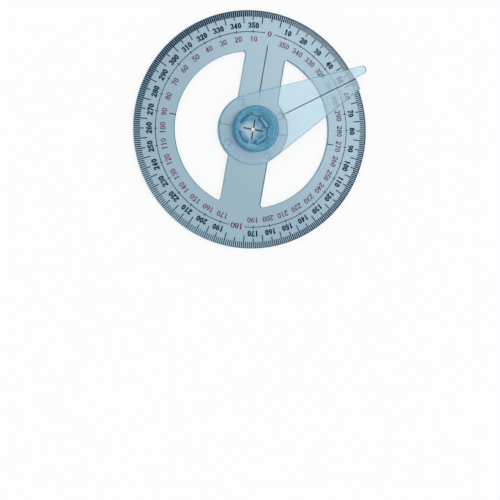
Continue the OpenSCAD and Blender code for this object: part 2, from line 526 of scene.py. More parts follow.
class Shell:
    """Collects the faces of one closed moulding, in millimetres, and makes a mesh of them."""

    def __init__(self) -> None:
        """Starts with no face and a clear skin."""
        self.points: list[Place] = []
        self.faces: list[tuple[int, ...]] = []
        self.skins: list[Skin] = []
        self.now = Skin.CLEAR

    def face(self, corners: Iterable[int]) -> None:
        """Adds a face with the skin of this moment."""
        self.faces.append(tuple(corners))
        self.skins.append(self.now)

    def ring(self, loop: Loop, z: float) -> list[int]:
        """Adds the points of a loop.

        Args:
            loop: the loop.
            z: its height.

        Returns:
            The points' numbers.
        """
        start = len(self.points)
        self.points += [(x, y, z) for x, y in loop]
        return list(range(start, start + len(loop)))

    def wall(self, levels: list[tuple[Loop, float]], skins: Iterable[Skin] = ()) -> None:
        """Joins loops of equal length by bands of four-sided faces.

        Args:
            levels: each loop with its height, in order along the wall.
            skins: skins to take in turn round the loops, instead of the skin of this moment.
        """
        rings = [self.ring(loop, z) for loop, z in levels]
        cycle = list(skins) or [self.now]
        for low, high in zip(rings, rings[1:]):
            for i in range(len(low)):
                j = (i + 1) % len(low)
                self.now = cycle[i % len(cycle)]
                self.face((low[i], low[j], high[j], high[i]))

    def rounded_wall(self, loop: Loop, z_low: float, z_high: float, edge_r: float) -> None:
        """Upright wall whose two edges are rounded.

        Args:
            loop: the wall's outline, with the material on its left.
            z_low: lower end.
            z_high: upper end.
            edge_r: radius of both edges.
        """
        turns = [math.radians(QUARTER_TURN * i / EDGE_STEPS) for i in range(EDGE_STEPS + 1)]
        low = [(inset(loop, edge_r * (1 - math.sin(t))), z_low + edge_r * (1 - math.cos(t))) for t in turns]
        high = [(moved, z_low + z_high - z) for moved, z in reversed(low)]
        self.wall(low + high)

    def cap(self, outline: Loop, holes: Iterable[Loop], z: float) -> None:
        """Adds a flat face.

        Args:
            outline: its outer edge, anticlockwise.
            holes: the edges of its holes.
            z: its height.
        """
        points, triangles = filled(outline, holes)
        start = len(self.points)
        self.points += [(x, y, z) for x, y in points]
        for triangle in triangles:
            self.face(start + i for i in triangle)

    def piece(self, name: str, material: Material) -> Object:
        """Makes the object, in metres: doubles merged, faces outwards and flat faces shaded flat.

        Args:
            name: the piece's name.
            material: its material, which reads the skins as attributes.

        Returns:
            The new object, linked to the scene.
        """
        mesh = bpy.data.meshes.new(name)
        mesh.from_pydata(self.points, [], self.faces)
        mesh.materials.append(material)
        for share in ("haze", "depth"):
            values = [getattr(skin, share) for skin in self.skins]
            mesh.attributes.new(share, "FLOAT", "FACE").data.foreach_set("value", values)
        work = bmesh.new()
        work.from_mesh(mesh)
        bmesh.ops.remove_doubles(work, verts=work.verts, dist=MERGE_MM)
        bmesh.ops.dissolve_degenerate(work, edges=work.edges, dist=DEGENERATE_MM)
        bmesh.ops.recalc_face_normals(work, faces=work.faces)
        open_edges = sum(1 for edge in work.edges if len(edge.link_faces) != 2)
        log.info("%s: %d faces, %d open edges", name, len(work.faces), open_edges)
        work.to_mesh(mesh)
        work.free()
        return finished(name, mesh)


def finished(name: str, mesh: Mesh) -> Object:
    """Scales a mesh from millimetres, shades it by angle and weighs its normals by face area.

    Args:
        name: the piece's name.
        mesh: the mesh in millimetres.

    Returns:
        A linked object at the origin, with no modifier left.
    """
    mesh.transform(Matrix.Scale(MM, 4))
    mesh.shade_smooth()
    mesh.set_sharp_from_angle(angle=math.radians(SHARP_ANGLE_DEG))
    shaped = add_object(name, mesh)
    weights = shaped.modifiers.new("even_normals", "WEIGHTED_NORMAL")
    weights.keep_sharp = True
    return frozen(shaped, name)


def frozen(source: Object, name: str) -> Object:
    """Turns an object with modifiers into a plain mesh object of that name.

    Args:
        source: the object, which is removed.
        name: the new object's name.

    Returns:
        The new object.
    """
    bpy.context.view_layer.update()
    graph = bpy.context.evaluated_depsgraph_get()
    mesh = bpy.data.meshes.new_from_object(
        source.evaluated_get(graph), preserve_all_data_layers=True, depsgraph=graph
    )
    bpy.data.objects.remove(source)
    mesh.name = name
    return add_object(name, mesh)


# Geometry trees for what repeats


def start_tree(name: str, sockets: dict[str, str]) -> tuple[NodeTree, Any]:
    """Starts a geometry tree that prints something.

    Args:
        name: the tree's name, which its result takes.
        sockets: kind of each input's socket, by the input's name.

    Returns:
        The tree, and the sockets that give its inputs.
    """
    tree = bpy.data.node_groups.new(name, "GeometryNodeTree")
    for socket, kind in sockets.items():
        tree.interface.new_socket(socket, in_out="INPUT", socket_type="NodeSocket" + kind)
    tree.interface.new_socket("Print", in_out="OUTPUT", socket_type="NodeSocketGeometry")
    return tree, add_node(tree, "NodeGroupInput").outputs


def end_tree(tree: NodeTree, placed: Node, ink: NodeSocket) -> None:
    """Ends a geometry tree: its instances are made real, inked and given out.

    Args:
        tree: the geometry tree.
        placed: the node that places the instances.
        ink: the input that gives the material.
    """
    real = add_node(tree, "GeometryNodeRealizeInstances", links={0: placed})
    inked = add_node(tree, "GeometryNodeSetMaterial", links={"Geometry": real, "Material": ink})
    add_node(tree, "NodeGroupOutput", links={0: inked})


def run_tree(tree: NodeTree, inputs: dict[str, Any], mesh: Optional[Mesh] = None) -> Object:
    """Evaluates a geometry tree with its inputs and returns the result as a plain object.

    Args:
        tree: the geometry tree, which works in millimetres.
        inputs: input values by name.
        mesh: the geometry that it starts from, if any.

    Returns:
        The result in metres, named as the tree.
    """
    carrier = add_object(tree.name + "_carrier", mesh or bpy.data.meshes.new("start"))
    modifier = carrier.modifiers.new("rule", "NODES")
    modifier.node_group = tree
    identifiers = {s.name: s.identifier for s in tree.interface.items_tree if s.item_type == "SOCKET"}
    for name, value in inputs.items():
        modifier[identifiers[name]] = value
    result = frozen(carrier, tree.name)
    result.data.transform(Matrix.Scale(MM, 4))
    return result


# The disc


@dataclass
class ProtractorDisc:
    """Ring, crossbar and hub in one moulding, with the snap fingers on the hub. Sizes in mm."""

    ring_inner_r: float = 33.0
    bar_w: float = 17.2
    hub_r: float = 15.0
    window_corner_r: float = 1.0
    pinhole_r: float = 0.7
    finger_r: float = 6.0
    finger_inner_r: float = 4.6
    finger_slot_w: float = 3.4
    barb_reach: float = 0.6
    barb_z: float = 3.7
    barb_edge_h: float = 0.3
    barb_slope_h: float = 0.9
    edge_r: float = 0.22
    pinhole_edge_r: float = 0.06
    hub_face_r: float = 6.7
    finger_edge_r: float = 0.15
    disc_t: float = 2.0
    rim_points: int = 360
    window_arc_points: int = 180
    window_corner_points: int = 12
    hub_arc_points: int = 90
    hub_face_points: int = 96
    pinhole_points: int = 48
    finger_arc_points: int = 24
    disc_r: float = field(init=False)

    def __post_init__(self) -> None:
        """Takes the rim's radius from the frame."""
        low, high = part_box("protractor_disc")
        self.disc_r = round((high.x - low.x) / 2 / MM, 1)

    def window(self, side: int) -> Loop:
        """Outline of one window, clockwise.

        Args:
            side: 1 for the window on +X, -1 for the other.

        Returns:
            The outline, with the material on its left.
        """
        corner_r, corner_points = self.window_corner_r, self.window_corner_points
        half_w = self.bar_w / 2
        corner_x = half_w + corner_r
        corner_y = math.sqrt((self.ring_inner_r - corner_r) ** 2 - corner_x**2)
        corner_deg = math.degrees(math.atan2(corner_y, corner_x))
        hub_deg = math.degrees(math.acos(half_w / self.hub_r))
        outline = arc((corner_x, corner_y), corner_r, HALF_TURN, corner_deg, corner_points)
        outline += arc(CENTRE, self.ring_inner_r, corner_deg, -corner_deg, self.window_arc_points)[1:-1]
        outline += arc((corner_x, -corner_y), corner_r, -corner_deg, -HALF_TURN, corner_points)
        outline += arc(CENTRE, self.hub_r, -hub_deg, hub_deg, self.hub_arc_points)
        if side > 0:
            return outline
        return [(-x, y) for x, y in reversed(outline)]

    def finger(self, outer_r: float, turn: float) -> Loop:
        """Outline of one finger between two slots, anticlockwise.

        Args:
            outer_r: its outer radius at this height.
            turn: angle of the quarter that it stands in.

        Returns:
            The outline.
        """
        half_slot, points = self.finger_slot_w / 2, self.finger_arc_points
        outer_deg = math.degrees(math.asin(half_slot / outer_r))
        inner_deg = math.degrees(math.asin(half_slot / self.finger_inner_r))
        outline = arc(CENTRE, outer_r, outer_deg, QUARTER_TURN - outer_deg, points)
        outline += arc(CENTRE, self.finger_inner_r, QUARTER_TURN - inner_deg, inner_deg, points)
        return turned(outline, turn)

    def build(self, plastic: Material) -> Object:
        """Builds the moulding as one closed mesh.

        Args:
            plastic: its material.

        Returns:
            The piece.
        """
        shell = Shell()
        rim = circle(self.disc_r, self.rim_points)
        windows = [self.window(1), self.window(-1)]
        pinhole = circle(self.pinhole_r, self.pinhole_points)[::-1]
        # The pinhole's wall is painted milky white, as painted light through the hole
        shell.now = Skin.PINHOLE
        shell.rounded_wall(pinhole, 0.0, self.disc_t, self.pinhole_edge_r)
        # The disc's edges are painted with the glow of light piped out at them
        shell.now = Skin.DISC_EDGE
        for loop in (rim, *windows):
            shell.rounded_wall(loop, 0.0, self.disc_t, self.edge_r)
        shell.now = Skin.CLEAR
        flat_rim = inset(rim, self.edge_r)
        flat_windows = [inset(loop, self.edge_r) for loop in windows]
        flat_pinhole = inset(pinhole, self.pinhole_edge_r)
        hub_face = circle(self.hub_face_r, self.hub_face_points)
        turns = [i * QUARTER_TURN for i in range(QUARTERS)]
        feet = [self.finger(self.finger_r, turn) for turn in turns]
        shell.cap(flat_rim, [*flat_windows, flat_pinhole], 0.0)
        shell.cap(flat_rim, [*flat_windows, hub_face], self.disc_t)
        # The hub's top is painted as the teal shade of the cup's wall
        shell.now = Skin.HUB_FACE
        shell.cap(hub_face, [flat_pinhole, *feet], self.disc_t)
        # The fingers are painted as the deep blue glow of light piped through them
        shell.now = Skin.FINGER
        for turn in turns:
            self.add_finger(shell, turn)
        return shell.piece("clear_disc", plastic)

    def add_finger(self, shell: Shell, turn: float) -> None:
        """Adds one snap finger, from the disc's top to its rounded end.

        Args:
            shell: the moulding that it is part of.
            turn: angle of the quarter that it stands in.
        """
        barb_r = self.finger_r + self.barb_reach
        edge_z = self.barb_z + self.barb_edge_h
        top_z = edge_z + self.barb_slope_h
        straight = self.finger(self.finger_r, turn)
        barb = self.finger(barb_r, turn)
        slope_share = 1 - self.finger_edge_r / self.barb_slope_h
        slope = self.finger(barb_r - self.barb_reach * slope_share, turn)
        end = inset(straight, self.finger_edge_r)
        shell.wall(
            [
                (straight, self.disc_t),
                (straight, self.barb_z),
                (barb, self.barb_z),
                (barb, edge_z),
                (slope, top_z - self.finger_edge_r),
                (end, top_z),
            ]
        )
        shell.cap(end, [], top_z)


# The arm


@dataclass
class PointerArm:
    """Flange, tapered blade with its offset tip, and knurled cup in one moulding. Sizes in mm."""

    reading: float = 53.5
    bottom_z: float = 2.1
    plate_t: float = 1.5
    flange_r: float = 14.8
    flange_face_r: float = 14.5
    taper_deg: float = 11.6
    blade_end_r: float = 50.2
    tip_reach: float = 56.3
    tip_setback: float = 0.3
    bore_r: float = 6.05
    mark_place_r: float = 12.5
    mark_r: float = 1.4
    mark_depth: float = 0.1
    mark_slope: float = 0.22
    knob_r: float = 9.6
    knob_wall: float = 2.0
    knob_h: float = 5.0
    rim_band_h: float = 1.0
    rim_r: float = 0.5
    groove_count: int = 60
    groove_r: float = 0.3
    groove_runout: float = 0.2
    edge_r: float = 0.2
    well_fillet_r: float = 0.3
    columns_per_groove: int = 12
    rounding_steps: int = 5
    blade_end_points: int = 24
    tip_points: int = 32
    flange_points: int = 180
    mark_points: int = 40

    @property
    def top_z(self) -> float:
        """Top of the plate."""
        return self.bottom_z + self.plate_t

    @property
    def columns(self) -> int:
        """Points round the cup."""
        return self.groove_count * self.columns_per_groove

    def outline(self) -> Loop:
        """Outline of flange and blade.

        Returns:
            The outline, anticlockwise, with the blade along +Y.
        """
        a = math.radians(self.taper_deg)
        tip_r = (self.flange_r - self.tip_setback * math.cos(a) - self.tip_reach * math.sin(a)) / (
            1 + math.cos(a) - math.sin(a)
        )
        tip = (-self.tip_setback - tip_r, self.tip_reach - tip_r)
        # Where the clockwise edge crosses the end radius
        edge_deg = self.taper_deg + math.degrees(math.acos(self.flange_r / self.blade_end_r))
        middle_deg = math.degrees(math.acos(-self.tip_setback / self.blade_end_r))
        start_deg, end_deg = HALF_TURN - self.taper_deg, FULL_TURN + self.taper_deg
        loop = arc(CENTRE, self.blade_end_r, edge_deg, middle_deg, self.blade_end_points)
        loop += arc(tip, tip_r, 0.0, start_deg, self.tip_points)
        loop += arc(CENTRE, self.flange_r, start_deg, end_deg, self.flange_points)
        return loop

    def grip(self, share: float) -> Loop:
        """Outline of the cup with its grooves.

        Args:
            share: how far the grooves are cut to their depth.

        Returns:
            The outline, anticlockwise.
        """
        pitch = math.tau / self.groove_count
        loop = []
        for i in range(self.columns):
            angle = math.tau * i / self.columns
            off_groove = abs((angle / pitch) % 1 - 0.5) * pitch * self.knob_r
            radius = self.knob_r - share * math.sqrt(max(0.0, self.groove_r**2 - off_groove**2))
            loop.append((radius * math.cos(angle), radius * math.sin(angle)))
        return loop

    def grip_skins(self) -> list[Skin]:
        """Skins of one groove's columns: the lands painted lighter and the groove darker, as painted light
        and shade of the knurl.

        Returns:
            The land on both sides and the groove between.
        """
        pitch = math.tau * self.knob_r / self.groove_count
        half = round(self.groove_r / pitch * self.columns_per_groove)
        middle = self.columns_per_groove // 2
        return [
            Skin.GRIP_GROOVE if middle - half <= i < middle + half else Skin.GRIP_LAND
            for i in range(self.columns_per_groove)
        ]

    def cup_profile(self) -> list[Point]:
        """Profile of the cup's turned part: rounded rim, inner wall, ledge and bore.

        Returns:
            Radius and height of each point, from the outside in.
        """
        inner_r = self.knob_r - self.knob_wall
        rim_z = self.top_z + self.knob_h - self.rim_r
        corner = (inner_r - self.well_fillet_r, self.top_z + self.well_fillet_r)
        bevel = self.edge_r / 2
        count = self.rounding_steps + 1
        profile = arc((self.knob_r - self.rim_r, rim_z), self.rim_r, 0.0, QUARTER_TURN, count)
        profile += arc((inner_r + self.rim_r, rim_z), self.rim_r, QUARTER_TURN, HALF_TURN, count)
        profile += arc(corner, self.well_fillet_r, 0.0, -QUARTER_TURN, count)
        profile += [
            (self.bore_r + bevel, self.top_z),
            (self.bore_r, self.top_z - bevel),
            (self.bore_r, self.bottom_z + bevel),
            (self.bore_r + bevel, self.bottom_z),
        ]
        return profile

    def build(self, plastic: Material) -> Object:
        """Builds the moulding as one closed mesh, turned to its reading.

        Args:
            plastic: its material.

        Returns:
            The piece.
        """
        shell = Shell()
        outline = self.outline()
        flat = inset(outline, self.edge_r)
        # The arm's edges are painted with the glow of light piped out at them
        shell.now = Skin.PLATE_EDGE
        shell.rounded_wall(outline, self.bottom_z, self.top_z, self.edge_r)
        shell.now = Skin.PLATE
        bore_edge = circle(self.bore_r + self.edge_r / 2, self.columns)
        shell.cap(flat, [bore_edge], self.bottom_z)
        places = arc(CENTRE, self.mark_place_r, 0.0, FULL_TURN - QUARTER_TURN, QUARTERS)
        marks = [circle(self.mark_r, self.mark_points, place) for place in places]
        foot = self.grip(1.0)
        face = circle(self.flange_face_r, self.flange_points)
        shell.cap(flat, [face], self.top_z)
        # The flange round the cup is painted lighter, against the cup's shade
        shell.now = Skin.FLANGE_FACE
        shell.cap(face, [foot, *marks], self.top_z)
        for mark in marks:
            floor = inset(mark, self.mark_slope)
            # The marks' sloped sides are painted with the glow of light piped out at them
            shell.now = Skin.MARK_EDGE
            shell.wall([(mark, self.top_z), (floor, self.top_z - self.mark_depth)])
            shell.now = Skin.FLANGE_FACE
            shell.cap(floor, [], self.top_z - self.mark_depth)
        band_z = self.top_z + self.knob_h - self.rim_band_h
        plain = self.grip(0.0)
        striped = self.grip_skins()
        # The knurled wall, its lands painted lighter and its grooves darker
        shell.wall([(foot, self.top_z), (foot, band_z - self.groove_runout), (plain, band_z)], striped)
        rings = [(circle(r, self.columns), z) for r, z in self.cup_profile()]
        # The grooves show through the clear rim as far as the end of its outer rounding, painted there as
        # the same stripes of light and shade
        first = self.rounding_steps
        shell.wall([(plain, band_z), *rings[: first + 1]], striped)
        # The last ring and the skin of each band, from there in to the bore: the cup's top, the well, the
        # ledge and the bore are painted as the glow of light piped through the thick plastic
        bands = (
            (first + 2, Skin.CUP),
            # Painted highlight on the upper faces of the inner rounding
            (first + 4, Skin.RIM_CREST),
            (3 * self.rounding_steps + 2, Skin.WELL),
            (len(rings) - 1, Skin.LEDGE),
        )
        for last, skin in bands:
            shell.wall(rings[first : last + 1], [skin])
            first = last
        shell.points = [(*turned([(x, y)], -self.reading)[0], z) for x, y, z in shell.points]
        return shell.piece("pointer_arm", plastic)


# The numbers


@dataclass(frozen=True)
class DigitStyle:
    """Size of one digit in mm, and how its pen strokes are shaded."""

    name: str
    height: float
    width: float
    stroke: float
    pitch: float
    thin_share: float
    has_foot: bool = False


@dataclass(frozen=True)
class PenStroke:
    """One stroke of a digit: its centre line as shares of the digit's width and height."""

    line: Loop
    closed: bool = False
    shaded: bool = True


def bow(centre: Point, radii: Point, start_deg: float, end_deg: float) -> Loop:
    """Points along an arc of an ellipse, both ends included."""
    unit = arc(CENTRE, 1.0, start_deg, end_deg, BOW_POINTS)
    return [(centre[0] + radii[0] * x, centre[1] + radii[1] * y) for x, y in unit]


def oval(centre: Point, radii: Point) -> PenStroke:
    """A whole ellipse as one closed stroke."""
    line = [(centre[0] + radii[0] * x, centre[1] + radii[1] * y) for x, y in circle(1.0, OVAL_POINTS)]
    return PenStroke(line, closed=True)


def digit_strokes(digit: int, has_foot: bool) -> list[PenStroke]:
    """Pen strokes of a digit.

    Args:
        digit: 0 to 9.
        has_foot: whether the 1 stands on a foot.

    Returns:
        The strokes.
    """
    one = [PenStroke([(0.5, 0.0), (0.5, 1.0)]), PenStroke([(0.5, 0.98), (0.2, 0.86)])]
    if has_foot:
        one.append(PenStroke([(0.22, 0.0), (0.78, 0.0)]))
    six = [
        oval((0.5, 0.31), (0.5, 0.31)),
        PenStroke(bow((1.02, 0.31), (1.02, 0.73), HALF_TURN, 112.0)),
    ]
    shapes: dict[int, list[PenStroke]] = {
        0: [oval((0.5, 0.5), (0.5, 0.5))],
        1: one,
        2: [
            PenStroke(bow((0.47, 0.71), (0.47, 0.29), 165.0, -32.0) + [(0.04, 0.02)]),
            PenStroke([(0.04, 0.0), (1.0, 0.0)], shaded=False),
        ],
        3: [
            PenStroke(bow((0.44, 0.75), (0.45, 0.25), 150.0, -90.0)),
            PenStroke(bow((0.44, 0.25), (0.52, 0.25), 90.0, -150.0)),
        ],
        4: [
            PenStroke([(0.74, 0.0), (0.74, 1.0), (0.04, 0.28)]),
            PenStroke([(0.04, 0.28), (1.0, 0.28)]),
        ],
        5: [
            PenStroke([(0.2, 1.0), (0.9, 1.0)], shaded=False),
            PenStroke([(0.2, 1.0), (0.14, 0.56)]),
            PenStroke(bow((0.42, 0.3), (0.54, 0.3), 118.0, -150.0)),
        ],
        6: six,
        7: [
            PenStroke([(0.04, 1.0), (0.96, 1.0)], shaded=False),
            PenStroke([(0.96, 1.0), (0.36, 0.0)]),
        ],
        8: [oval((0.5, 0.755), (0.42, 0.245)), oval((0.5, 0.265), (0.5, 0.265))],
        9: [PenStroke([(1 - x, 1 - y) for x, y in s.line], s.closed) for s in six],
    }
    return shapes[digit]


def pen_shapes(points: Loop, stroke: PenStroke, style: DigitStyle) -> list[Loop]:
    """Convex outlines that together cover a stroke, thinner where it runs level.

    Args:
        points: the stroke's centre line in mm.
        stroke: the stroke.
        style: the digit's sizes.

    Returns:
        Anticlockwise outlines, one for each step along the line and one for each sharp corner.
    """
    corners = [Vector(p) for p in points]
    count = len(corners)
    steps = count if stroke.closed else count - 1
    runs = [(corners[(i + 1) % count] - corners[i]).normalized() for i in range(steps)]
    thin = style.thin_share if stroke.shaded else 1.0
    halves = [style.stroke / 2 * (thin + (1 - thin) * abs(run.y)) for run in runs]
    sides = [Vector((-run.y, run.x)) for run in runs]
    soft_bend = math.cos(math.radians(SOFT_BEND_DEG))
    shapes = []
    for i, run in enumerate(runs):
        ends = []
        for other, outward in ((i - 1, -1.0), (i + 1, 1.0)):
            if not stroke.closed and not 0 <= other < steps:
                ends.append((sides[i] * halves[i], run * halves[i] * outward))
                continue
            other %= steps
            cosine = sides[i].dot(sides[other])
            if cosine > soft_bend:
                half = (halves[i] + halves[other]) / 2
                ends.append(((sides[i] + sides[other]) / (1 + cosine) * half, Vector((0.0, 0.0))))
                continue
            ends.append((sides[i] * halves[i], Vector((0.0, 0.0))))
            corner = corners[i] if outward < 0 else corners[(i + 1) % count]
            shapes.append(circle(min(halves[i], halves[other]), PEN_CORNER_POINTS, tuple(corner)))
        (side_a, reach_a), (side_b, reach_b) = ends
        a, b = corners[i] + reach_a, corners[(i + 1) % count] + reach_b
        shapes.append([tuple(p) for p in (a - side_a, b - side_b, b + side_b, a + side_a)])
    return shapes


def printed_digit(digit: int, style: DigitStyle, ink_t: float) -> Mesh:
    """Mesh of one digit, centred on the origin, as a closed film of ink in mm.

    Args:
        digit: 0 to 9.
        style: its sizes.
        ink_t: thickness of the film.

    Returns:
        The mesh.
    """
    w, h = style.width - style.stroke, style.height - style.stroke
    coords: list[Vector] = []
    faces: list[list[int]] = []
    for stroke in digit_strokes(digit, style.has_foot):
        line = [((x - 0.5) * w, (y - 0.5) * h) for x, y in stroke.line]
        for shape in pen_shapes(line, stroke, style):
            faces.append(list(range(len(coords), len(coords) + len(shape))))
            coords += [Vector(p) for p in shape]
    points, _, triangles, _, _, owners = delaunay_2d_cdt(
        coords, [], faces, HULL_TRIANGLES, PEN_TOLERANCE_MM, True
    )
    work = bmesh.new()
    verts = [work.verts.new((p.x, p.y, 0.0)) for p in points]
    for triangle, owner in zip(triangles, owners):
        if owner:
            work.faces.new([verts[i] for i in triangle])
    loose = [v for v in work.verts if not v.link_faces]
    bmesh.ops.delete(work, geom=loose, context="VERTS")
    flat = math.radians(FLAT_ANGLE_DEG)
    bmesh.ops.dissolve_limit(work, angle_limit=flat, verts=work.verts, edges=work.edges)
    grown = bmesh.ops.extrude_face_region(work, geom=work.faces[:])
    lifted = [v for v in grown["geom"] if isinstance(v, bmesh.types.BMVert)]
    bmesh.ops.translate(work, verts=lifted, vec=(0.0, 0.0, ink_t))
    bmesh.ops.recalc_face_normals(work, faces=work.faces)
    # Sorted, because the extrusion leaves the faces in another order in each run
    work.verts.index_update()
    film = sorted([v.index for v in face.verts] for face in work.faces)
    mesh = bpy.data.meshes.new(f"{style.name}_{digit}")
    mesh.from_pydata([v.co for v in work.verts], [], film)
    work.free()
    return mesh


def digit_row_tree(name: str) -> NodeTree:
    """Geometry tree that sets a digit on every point, turned with its place on the dial.

    Args:
        name: the tree's name, which its result takes.

    Returns:
        The tree, with inputs Digits (a collection) and Ink (a material).
    """
    tree, given = start_tree(name, {"Places": "Geometry", "Digits": "Collection", "Ink": "Material"})
    digits = add_node(
        tree,
        "GeometryNodeCollectionInfo",
        {"Separate Children": True, "Reset Children": True},
        {"Collection": given["Digits"]},
    )
    digit = add_node(tree, "GeometryNodeInputNamedAttribute", data_type="INT", values={"Name": "digit"})
    turn = add_node(tree, "GeometryNodeInputNamedAttribute", data_type="FLOAT", values={"Name": "turn"})
    axis = add_node(tree, "ShaderNodeCombineXYZ", links={"Z": turn})
    placed = add_node(
        tree,
        "GeometryNodeInstanceOnPoints",
        {"Pick Instance": True},
        {"Points": given["Places"], "Instance": digits, "Instance Index": digit, "Rotation": axis},
    )
    end_tree(tree, placed, given["Ink"])
    return tree


@dataclass
class NumberRow:
    """A row of printed numbers round the dial."""

    name: str
    style: DigitStyle
    radius: float
    colour: PrintColour
    numbers: dict[int, int]
    shift_deg: float = 0.0

    def places(self, z: float) -> Mesh:
        """Points where digits stand, in mm, with each one's digit and turn.

        Args:
            z: height of the surface that is printed.

        Returns:
            A mesh of loose points.
        """
        points, digits, turns = [], [], []
        for reading, number in self.numbers.items():
            text = str(number)
            turn = reading + self.shift_deg
            for i, letter in enumerate(text):
                along = (i - (len(text) - 1) / 2) * self.style.pitch
                x, y = turned([(along, self.radius)], -turn)[0]
                points.append((x, y, z))
                digits.append(int(letter))
                turns.append(-math.radians(turn))
        mesh = bpy.data.meshes.new(self.name + "_places")
        mesh.from_pydata(points, [], [])
        mesh.attributes.new("digit", "INT", "POINT").data.foreach_set("value", digits)
        mesh.attributes.new("turn", "FLOAT", "POINT").data.foreach_set("value", turns)
        return mesh

    def build(self, z: float, ink_t: float, ink: Material) -> Object:
        """Prints the row.

        Args:
            z: height of the surface.
            ink_t: thickness of the print.
            ink: its material.

        Returns:
            The piece, in metres.
        """
        shelf = bpy.data.collections.new(self.style.name)
        for digit in range(10):
            sample = bpy.data.objects.new(f"digit_{digit}", printed_digit(digit, self.style, ink_t))
            shelf.objects.link(sample)
        row = run_tree(digit_row_tree(self.name), {"Digits": shelf, "Ink": ink}, self.places(z))
        for sample in list(shelf.objects):
            bpy.data.objects.remove(sample)
        bpy.data.collections.remove(shelf)
        return row


@dataclass
class DegreeTicks:
    """The short tick of each degree, wider where the screen was pressed harder. Sizes in mm."""

    name: str = "printed_degree_ticks"
    count: int = 360
    middle_r: float = 48.58
    length: float = 2.64
    width: float = 0.5
    spare_t: float = 0.004
    lean: float = 0.2
    lean_deg: float = 338.0
    bow: float = 0.22
    bow_deg: float = 127.0

    def tree(self, sockets: dict[str, str]) -> NodeTree:
        """Geometry tree that sets a bar of ink at each degree, also over the ends of the long ticks.

        Args:
            sockets: kind of each input's socket, by the input's name.

        Returns:
            The tree.
        """
        tree, given = start_tree(self.name, sockets)
        found: dict[str, Source] = {name: given[name] for name in sockets}
        found["Index"] = add_node(tree, "GeometryNodeInputIndex")
        # The arithmetic of each bar's place, turn and width, on inputs and steps by name and on numbers
        steps = {
            "Pitch": ("DIVIDE", math.tau, "Count"),
            "Dial": ("MULTIPLY", "Index", "Pitch"),
            "Sine": ("SINE", "Dial"),
            "Cosine": ("COSINE", "Dial"),
            "Place X": ("MULTIPLY", "Middle Radius", "Sine"),
            "Place Y": ("MULTIPLY", "Middle Radius", "Cosine"),
            "Half Height": ("DIVIDE", "Height", 2.0),
            "Place Z": ("ADD", "Base", "Half Height"),
            "Turn": ("MULTIPLY", "Dial", -1.0),
            "Lean Angle": ("SUBTRACT", "Dial", "Lean Direction"),
            "Lean Cosine": ("COSINE", "Lean Angle"),
            "Lean Wave": ("MULTIPLY", "Lean", "Lean Cosine"),
            "Bow Angle": ("SUBTRACT", "Dial", "Bow Direction"),
            "Twice Bow Angle": ("MULTIPLY", "Bow Angle", 2.0),
            "Bow Cosine": ("COSINE", "Twice Bow Angle"),
            "Bow Wave": ("MULTIPLY", "Bow", "Bow Cosine"),
            "Waves": ("ADD", "Lean Wave", "Bow Wave"),
            "Width Share": ("ADD", "Waves", 1.0),
            "Bar Width": ("MULTIPLY", "Width", "Width Share"),
        }
        for name, (operation, *terms) in steps.items():
            values = {i: term for i, term in enumerate(terms) if isinstance(term, float)}
            links = {i: found[term] for i, term in enumerate(terms) if isinstance(term, str)}
            found[name] = add_node(tree, "ShaderNodeMath", values, links, operation=operation)
        place = add_node(
            tree, "ShaderNodeCombineXYZ", links={axis: found["Place " + axis] for axis in ("X", "Y", "Z")}
        )
        points = add_node(tree, "GeometryNodePoints", links={"Count": given["Count"], "Position": place})
        scale = add_node(tree, "ShaderNodeCombineXYZ", {"Y": 1.0, "Z": 1.0}, {"X": found["Bar Width"]})
        turn = add_node(tree, "ShaderNodeCombineXYZ", links={"Z": found["Turn"]})
        size = add_node(
            tree, "ShaderNodeCombineXYZ", {"X": 1.0}, {"Y": given["Length"], "Z": given["Height"]}
        )
        bar = add_node(tree, "GeometryNodeMeshCube", links={"Size": size})
        placed = add_node(
            tree,
            "GeometryNodeInstanceOnPoints",
            links={"Points": points, "Instance": bar, "Rotation": turn, "Scale": scale},
        )
        end_tree(tree, placed, given["Ink"])
        return tree

    def build(self, z: float, ink_t: float, ink: Material) -> Object:
        """Prints the ticks.

        Args:
            z: height of the surface.
            ink_t: thickness of the print.
            ink: its material.

        Returns:
            The piece, in metres.
        """
        # Each named input of the tree: the kind of its socket and its value
        inputs = {
            "Count": ("Int", self.count),
            "Middle Radius": ("Float", self.middle_r),
            "Length": ("Float", self.length),
            "Width": ("Float", self.width),
            "Height": ("Float", ink_t + self.spare_t),
            "Base": ("Float", z),
            "Lean": ("Float", self.lean),
            "Lean Direction": ("Float", math.radians(self.lean_deg)),
            "Bow": ("Float", self.bow),
            "Bow Direction": ("Float", math.radians(self.bow_deg)),
            "Ink": ("Material", ink),
        }
        tree = self.tree({name: kind for name, (kind, _) in inputs.items()})
        return run_tree(tree, {name: value for name, (_, value) in inputs.items()})


